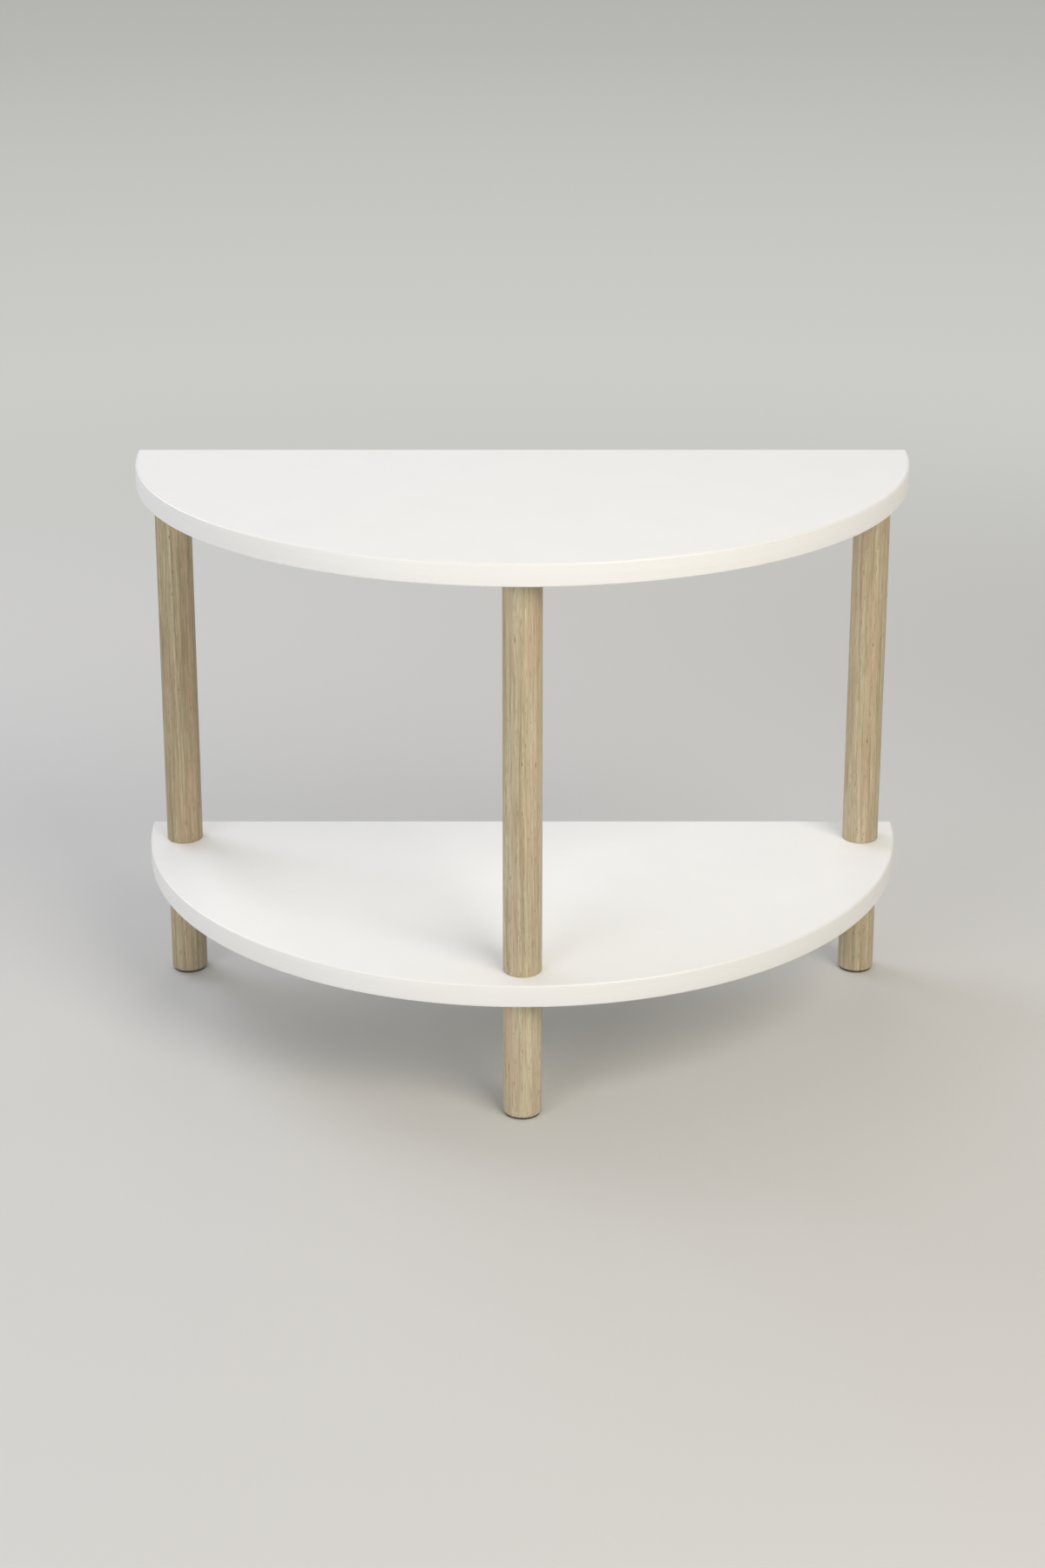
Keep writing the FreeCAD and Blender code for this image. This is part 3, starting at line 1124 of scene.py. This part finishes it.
@dataclass
class FeltPad:
    """A punched disc of felt under a leg."""

    low: float
    high: float
    radius: float
    sides: int = 160
    rim: float = 0.5 * MM
    rim_segments: int = 3
    ring_widths: tuple[float, ...] = (0.8 * MM, 1.2 * MM, 2.0 * MM, 4.0 * MM)
    nap: float = 0.25 * MM
    nap_cell: float = 1.3 * MM

    def build(self) -> Piece:
        """Models the pad.

        Returns:
            The pad, about the vertical axis, with its nap.
        """
        bpy.ops.object.select_all(action="DESELECT")
        bpy.ops.mesh.primitive_cylinder_add(
            vertices=self.sides,
            radius=self.radius,
            depth=self.high - self.low,
            location=(0.0, 0.0, (self.low + self.high) / 2),
        )
        pad = bpy.context.object
        bpy.ops.object.transform_apply(location=True, rotation=False, scale=False)
        round_over(pad, on_rim(self.radius), self.rim, self.rim_segments)
        for width in self.ring_widths:
            select_where(pad, "FACE", lambda points: len(points) == self.sides)
            bpy.ops.mesh.inset(thickness=width)
            bpy.ops.object.mode_set(mode="OBJECT")
        fuzz = bpy.data.textures.new("felt_fuzz", "CLOUDS")
        fuzz.noise_scale = self.nap_cell
        nap = pad.modifiers.new("nap", "DISPLACE")
        nap.texture = fuzz
        nap.strength = self.nap
        nap.mid_level = 1.0
        apply_modifier(pad, nap)
        return pad


@dataclass
class LegRod:
    """A turned rod with eased ends, bored above for a bolt and, if it has one, below for a nut."""

    low: float
    high: float
    radius: float
    bolt_radius: float
    bolt_depth: float
    nut_radius: float = 0.0
    nut_depth: float = 0.0
    sides: int = 128
    end_round: float = 1.0 * MM
    bore_clearance: float = 0.05 * MM
    end_gap: float = 1.0 * MM
    drill_point_deg: float = 118.0

    def build(self) -> Piece:
        """Models the rod.

        Returns:
            The rod, about the vertical axis.
        """
        bolt_bore = self.bolt_radius + self.bore_clearance
        bolt_end = self.high - self.bolt_depth - self.end_gap
        point = bolt_bore / math.tan(math.radians(self.drill_point_deg / 2))
        foot = [(0.0, self.low)]
        if self.nut_depth:
            nut_bore = self.nut_radius + self.bore_clearance
            nut_end = self.low + self.nut_depth
            foot = [(0.0, nut_end), (nut_bore, nut_end), (nut_bore, self.low)]
        outline = [
            *foot,
            (self.radius, self.low),
            (self.radius, self.high),
            (bolt_bore, self.high),
            (bolt_bore, bolt_end),
            (0.0, bolt_end - point),
        ]
        rod = turned_solid(outline, self.sides)
        round_over(rod, on_rim(self.radius), self.end_round)
        return rod


@dataclass(frozen=True)
class Stave:
    """The length of ash that one rod was turned from, and how pale the rod is drawn, with painted
    light in it.
    """

    leg: str
    turn_deg: float
    paleness_with_painted_light: float


@dataclass
class LegSet:
    """The six rods of the three legs, their joints to the boards and the pads under them."""

    zinc: Material
    insert: Material
    felt: Material
    thread_clearance: float = 0.05 * MM
    shift_between_mm: float = 173.0
    # Each rod's paleness is fitted to its brightness and holds painted light: each lower rod is
    # paler than the rod above it, making up for the light it lacks under the shelf. The left rods
    # are drawn darker than the others.
    staves: tuple[Stave, ...] = (
        Stave("upper_leg_left", 324.0, -0.09),
        Stave("lower_leg_left", 312.0, -0.045),
        Stave("upper_leg_right", 96.0, 0.045),
        Stave("lower_leg_right", 300.0, 0.11),
        Stave("upper_leg_front", 324.0, 0.08),
        Stave("lower_leg_front", 48.0, 0.18),
    )

    def build(self) -> None:
        """Models the rods, the bolts and insert nuts, and the pads."""
        for tier in Tier:
            self._build_rods(tier)
        for tier in Tier:
            self._build_joints(tier)
        self._build_pads()

    def _build_rods(self, tier: Tier) -> None:
        """Models the rods whose upper ends are at a board.

        Args:
            tier: The board.
        """
        low, high = heights(tier.leg(MODEL_SPOT))
        bolt = tier.bolt(MODEL_SPOT)
        bolt_low, _ = heights(bolt)
        rod = LegRod(low, high, half_width(tier.leg(MODEL_SPOT)), half_width(bolt), high - bolt_low)
        if tier is Tier.TOP:
            nut = Tier.SHELF.nut(MODEL_SPOT)
            nut_low, nut_high = heights(nut)
            rod.nut_radius = half_width(nut)
            rod.nut_depth = nut_high - nut_low
        copy_to_legs(rod.build(), tier.leg, self._ash)

    def _ash(self, leg: str) -> Material:
        """Builds the finish of one rod.

        Args:
            leg: The rod's node.

        Returns:
            The finish, with the figure of the rod's own stave.
        """
        number = [stave.leg for stave in self.staves].index(leg)
        stave, shift_mm = self.staves[number], number * self.shift_between_mm
        name = f"pale_ash_matt_lacquer_{leg}"
        return LacqueredAsh(name, stave.turn_deg, shift_mm, stave.paleness_with_painted_light).material()

    def _build_joints(self, tier: Tier) -> None:
        """Models the bolts and the insert nuts that hold the legs to a board.

        Args:
            tier: The board.
        """
        bolt_node, nut_node = tier.bolt(MODEL_SPOT), tier.nut(MODEL_SPOT)
        bolt_low, bolt_high = heights(bolt_node)
        _, plane = heights(tier.leg(MODEL_SPOT))
        radius = half_width(bolt_node)
        bolt = HangerBolt(bolt_low, plane, bolt_high, radius)
        nut = InsertNut(*heights(nut_node), half_width(nut_node), radius + self.thread_clearance)
        copy_to_legs(bolt.build(), tier.bolt, lambda node: self.zinc)
        copy_to_legs(nut.build(), tier.nut, lambda node: self.insert)

    def _build_pads(self) -> None:
        """Models the pads under the legs."""
        pad = FeltPad(*heights(MODEL_SPOT.pad()), half_width(MODEL_SPOT.pad()))
        copy_to_legs(pad.build(), Spot.pad, lambda pad_node: self.felt)


# The studio

@dataclass(frozen=True)
class Softbox:
    """A square area lamp that faces the table."""

    name: str
    azimuth_deg: float
    elevation_deg: float
    watts: float
    colour: str
    distance: float = 2.6
    side: float = 1.4

    def build(self, target: Vector) -> None:
        """Makes the lamp.

        Args:
            target: The point that it faces.
        """
        lamp = bpy.data.lights.new(self.name, "AREA")
        lamp.shape = "SQUARE"
        lamp.size = self.side
        lamp.energy = self.watts
        lamp.color = linear(self.colour)[:3]
        around = math.radians(self.azimuth_deg)
        above = math.radians(self.elevation_deg)
        level = math.cos(above)
        away = Vector((math.sin(around) * level, -math.cos(around) * level, math.sin(above)))
        holder = bpy.data.objects.new(self.name, lamp)
        holder.location = target + away * self.distance
        holder.rotation_euler = away.to_track_quat("Z", "Y").to_euler()
        holder.visible_camera = False
        bpy.context.scene.collection.objects.link(holder)


@dataclass
class Studio:
    """The floor, the light and the camera round the table."""

    floor_radius: float = 30.0
    floor_sides: int = 128
    floor_colour: str = "#D0CFCB"
    floor_roughness: float = 0.8
    # Past these distances the lit floor gives way to the backdrop.
    fade_start: float = 0.8
    fade_end: float = 2.2
    # The backdrop's colours, by their share of this distance. The far floor glows in them as
    # painted light, darker farther out, a painted falloff of light.
    backdrop_reach: float = 10.0
    backdrop: tuple[tuple[float, str], ...] = (
        (0.1, "#C8C8C4"), (0.25, "#CCCCC8"), (0.7, "#B9B9B5"), (1.0, "#B2B2AE")
    )
    ambient: str = "#FFFFFF"
    ambient_strength: float = 0.42
    softboxes: tuple[Softbox, ...] = (
        Softbox("right_key_softbox", 36.0, 40.0, 35.0, "#FFF6E9"),
        Softbox("left_fill_softbox", -35.0, 16.0, 20.0, "#F4F7FF"),
        Softbox("left_rear_softbox", -130.0, 35.0, 23.0, "#E8ECFF"),
        Softbox("rear_softbox", 180.0, 35.0, 6.0, "#FFFFF4"),
    )
    aim_height: float = 0.25
    lens_mm: float = 61.76
    pitch_deg: float = 16.49
    camera_place: Step = (0.0, -2.0078, 1.0330)
    # The photo's frame hangs below its optical axis, as through a shifted lens.
    frame_shift: float = -0.1667

    def build(self) -> None:
        """Makes the floor, the world, the lamps and the camera."""
        self._floor()
        self._world()
        for softbox in self.softboxes:
            softbox.build(Vector((0.0, 0.0, self.aim_height)))
        self._camera()

    def _floor(self) -> None:
        """Lays a wide pale floor."""
        bpy.ops.object.select_all(action="DESELECT")
        bpy.ops.mesh.primitive_circle_add(
            vertices=self.floor_sides, radius=self.floor_radius, fill_type="NGON"
        )
        floor = bpy.context.object
        floor.name = floor.data.name = "studio_floor"
        floor.data.materials.append(self._floor_material())

    def _looked_at(self, tree: Tree) -> Socket:
        """Tells a ray that is looked along from one that only carries light.

        Args:
            tree: The node tree.

        Returns:
            One for camera, glossy and transmission rays, and otherwise zero.
        """
        path = add_node(tree, "LightPath")
        looked = path.outputs["Is Camera Ray"]
        for kind in ("Is Glossy Ray", "Is Transmission Ray"):
            looked = add_node(
                tree, "Math", {"operation": "MAXIMUM"}, {0: looked, 1: path.outputs[kind]}
            ).outputs["Value"]
        return looked

    def _floor_material(self) -> Material:
        """Builds matt paper that keeps the table's shadow and fades far away to the backdrop, a
        glow of painted light that darkens outwards.

        Returns:
            The material.
        """
        material = bpy.data.materials.new("studio_floor_matt_paper")
        tree = fresh_tree(material)
        matt = {"Base Color": linear(self.floor_colour), "Roughness": self.floor_roughness}
        paper = add_node(tree, "BsdfPrincipled", matt)
        place = add_node(tree, "TexCoord")
        distance = add_node(
            tree, "VectorMath", {"operation": "LENGTH"}, {0: place.outputs["Object"]}
        ).outputs["Value"]
        span = {"From Min": self.fade_start, "From Max": self.fade_end}
        fade = add_node(
            tree, "MapRange", {"interpolation_type": "SMOOTHSTEP", **span}, {"Value": distance}
        )
        looked_far = {0: fade.outputs["Result"], 1: self._looked_at(tree)}
        share = add_node(tree, "Math", {"operation": "MULTIPLY"}, looked_far)
        reach = add_node(
            tree, "Math", {"operation": "DIVIDE", 1: self.backdrop_reach}, {0: distance}
        )
        shade = add_node(
            tree, "ValToRGB", links={"Fac": reach.outputs["Value"]}, stops=list(self.backdrop)
        )
        # Painted light: the far floor glows in the backdrop's colours instead of being lit, darker
        # farther out.
        far = add_node(tree, "Emission", links={"Color": shade.outputs["Color"]})
        mixing = {0: share.outputs["Value"], 1: paper.outputs["BSDF"], 2: far.outputs["Emission"]}
        mixed = add_node(tree, "MixShader", links=mixing)
        add_node(tree, "OutputMaterial", links={"Surface": mixed.outputs["Shader"]})
        return material

    def _world(self) -> None:
        """Lights the table evenly from all round, and shows the backdrop behind it."""
        world = bpy.data.worlds.new("studio_world")
        bpy.context.scene.world = world
        tree = fresh_tree(world)
        even = {"Color": linear(self.ambient), "Strength": self.ambient_strength}
        ambient = add_node(tree, "Background", even)
        _, farthest = self.backdrop[-1]
        backdrop = add_node(tree, "Background", {"Color": linear(farthest)})
        mixing = {
            0: self._looked_at(tree),
            1: ambient.outputs["Background"],
            2: backdrop.outputs["Background"],
        }
        mixed = add_node(tree, "MixShader", links=mixing)
        add_node(tree, "OutputWorld", links={"Surface": mixed.outputs["Shader"]})

    def _camera(self) -> None:
        """Stands the camera where the photo was taken from."""
        lens = bpy.data.cameras.new("photo_camera")
        lens.lens = self.lens_mm
        lens.shift_y = self.frame_shift
        camera = bpy.data.objects.new("photo_camera", lens)
        camera.location = self.camera_place
        camera.rotation_euler = (math.pi / 2 - math.radians(self.pitch_deg), 0.0, 0.0)
        bpy.context.scene.collection.objects.link(camera)
        bpy.context.scene.camera = camera


def main() -> None:
    """Dresses the table and sets it in the studio."""
    logging.basicConfig(level=logging.INFO, format="%(name)s: %(message)s")
    bpy.context.scene.view_settings.view_transform = "Standard"
    face = WhiteMelamine().material()
    edging = WhiteEdging().material()
    for tier in Tier:
        EdgedBoard(tier, face, edging).build()
    LegSet(
        zinc=PlatedSteel("zinc_plated_rolled_steel", "#C3C6C9", "#A9ADB2", 0.32).material(),
        insert=PlatedSteel("yellow_zinc_turned_steel", "#C9BD94", "#A89C78", 0.36).material(),
        felt=PressedFelt().material(),
    ).build()
    Studio().build()


if __name__ == "__main__":
    main()
